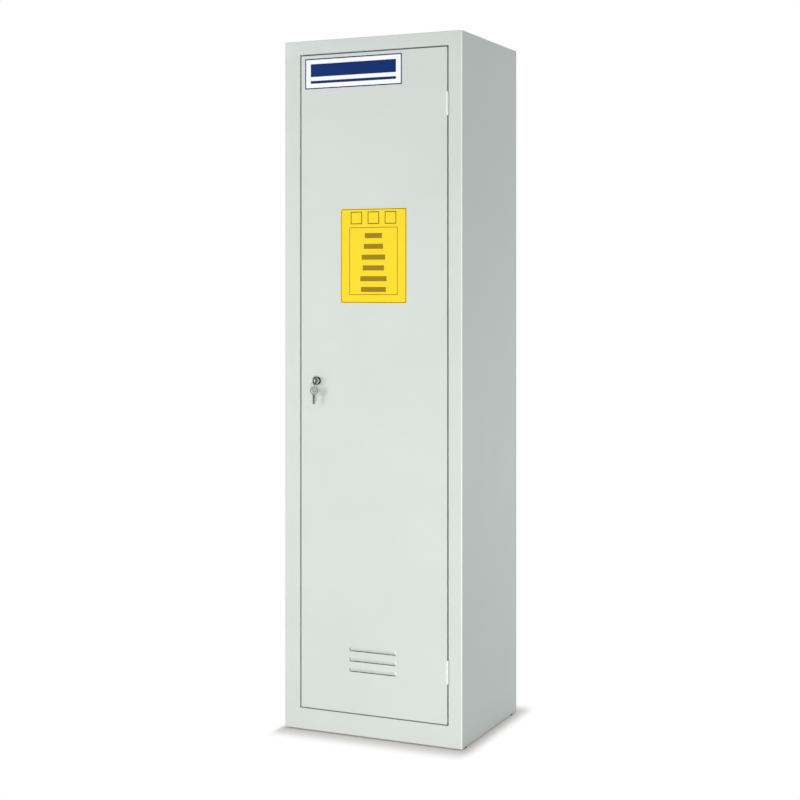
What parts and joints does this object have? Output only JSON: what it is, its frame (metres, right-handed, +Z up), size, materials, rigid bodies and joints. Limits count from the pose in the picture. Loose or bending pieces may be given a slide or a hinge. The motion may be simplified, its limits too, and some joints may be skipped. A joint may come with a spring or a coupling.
{
  "type": "chemical storage cabinet",
  "caption": "Tall narrow steel chemical cabinet with one louvred hinged door, key lock working two shooting bolts, tray shelves, sump tray and roof exhaust spigot.",
  "frame": {"origin": "at floor level in the middle of the whole outline, keys included, under the feet", "axes": "+Z up, +Y towards the back, +X to the right as one faces the door; the door faces -Y"},
  "size_m": [0.5, 0.4256, 1.835],
  "materials": {
    "paint": "pale grey-white powder coat, fine orange peel, satin",
    "shelf_paint": "pale grey powder coat, satin",
    "zinc": "bright zinc plate",
    "chrome": "polished chrome plate",
    "steel": "bright drawn steel",
    "nickel": "nickel plate, lightly rubbed",
    "polypropylene": "pale matt polypropylene",
    "rubber": "black rubber",
    "white_card": "white self-adhesive film with a thin blue border, no words",
    "yellow_card": "yellow self-adhesive film with a ruled blank panel, no words"
  },
  "bodies": {
    "cabinet": {"left_side": "paint", "right_side": "paint", "roof": "paint", "floor_pan": "paint", "back_panel": "paint", "exhaust_spigot": "polypropylene", "sump_tray": "polypropylene", "foot_front_left": "rubber", "foot_front_right": "rubber", "foot_rear_left": "rubber", "foot_rear_right": "rubber", "upright_front_left": "zinc", "upright_front_right": "zinc", "upright_rear_left": "zinc", "upright_rear_right": "zinc", "shelf_lower": "shelf_paint", "shelf_middle": "shelf_paint", "shelf_upper": "shelf_paint", "clip_lower_front_left": "zinc", "clip_lower_front_right": "zinc", "clip_lower_rear_left": "zinc", "clip_lower_rear_right": "zinc", "clip_middle_front_left": "zinc", "clip_middle_front_right": "zinc", "clip_middle_rear_left": "zinc", "clip_middle_rear_right": "zinc", "clip_upper_front_left": "zinc", "clip_upper_front_right": "zinc", "clip_upper_rear_left": "zinc", "clip_upper_rear_right": "zinc", "hinge_upper_frame_leaf": "paint", "hinge_lower_frame_leaf": "paint", "hinge_upper_pin": "steel", "hinge_lower_pin": "steel", "door_buffer_upper": "rubber", "door_buffer_lower": "rubber"},
    "door": {"door_panel": "paint", "door_stiffener": "paint", "hinge_upper_door_leaf": "paint", "hinge_lower_door_leaf": "paint", "name_card": "white_card", "contents_card": "yellow_card", "lock_body": "chrome", "lock_nut": "zinc", "rod_guide_upper_1": "zinc", "rod_guide_upper_2": "zinc", "rod_guide_lower_1": "zinc", "rod_guide_lower_2": "zinc"},
    "lock_plug": {"lock_plug": "chrome", "lock_cam": "zinc", "cam_bolt": "steel"},
    "upper_rod": {"upper_rod": "zinc"},
    "lower_rod": {"lower_rod": "zinc"},
    "key": {"key": "nickel"},
    "key_ring": {"key_ring": "nickel"},
    "spare_key": {"spare_key": "nickel"}
  },
  "joints": [
    {"name": "door_hinge", "type": "hinge", "parent": "cabinet", "child": "door", "pos_m": [0.21125, -0.1887, 0.9], "axis": [0, 0, 1], "range_deg": [0, 170]},
    {"name": "lock_turn", "type": "hinge", "parent": "door", "child": "lock_plug", "pos_m": [-0.1549, -0.1872, 0.9143], "axis": [0, -1, 0], "range_deg": [0, 90]},
    {"name": "upper_rod_slide", "type": "slide", "parent": "door", "child": "upper_rod", "axis": [0, 0, 1], "range_m": [0, 0.01697]},
    {"name": "lower_rod_slide", "type": "slide", "parent": "door", "child": "lower_rod", "axis": [0, 0, -1], "range_m": [0, 0.01697]},
    {"name": "key_slide", "type": "slide", "parent": "lock_plug", "child": "key", "axis": [0, -1, 0], "range_m": [0, 0.025]},
    {"name": "key_ring_swing", "type": "hinge", "parent": "key", "child": "key_ring", "pos_m": [-0.1549, -0.2064, 0.91165], "axis": [1, 0, 0], "range_deg": [-40, 12]},
    {"name": "spare_key_swing", "type": "hinge", "parent": "key_ring", "child": "spare_key", "pos_m": [-0.1549, -0.2064, 0.89565], "axis": [0, 1, 0], "range_deg": [-35, 35]}
  ],
  "couplings": [
    {"joint": "lock_turn", "follows": "upper_rod_slide", "rad_per_m": 92.56},
    {"joint": "lower_rod_slide", "follows": "upper_rod_slide", "ratio": 1}
  ]
}
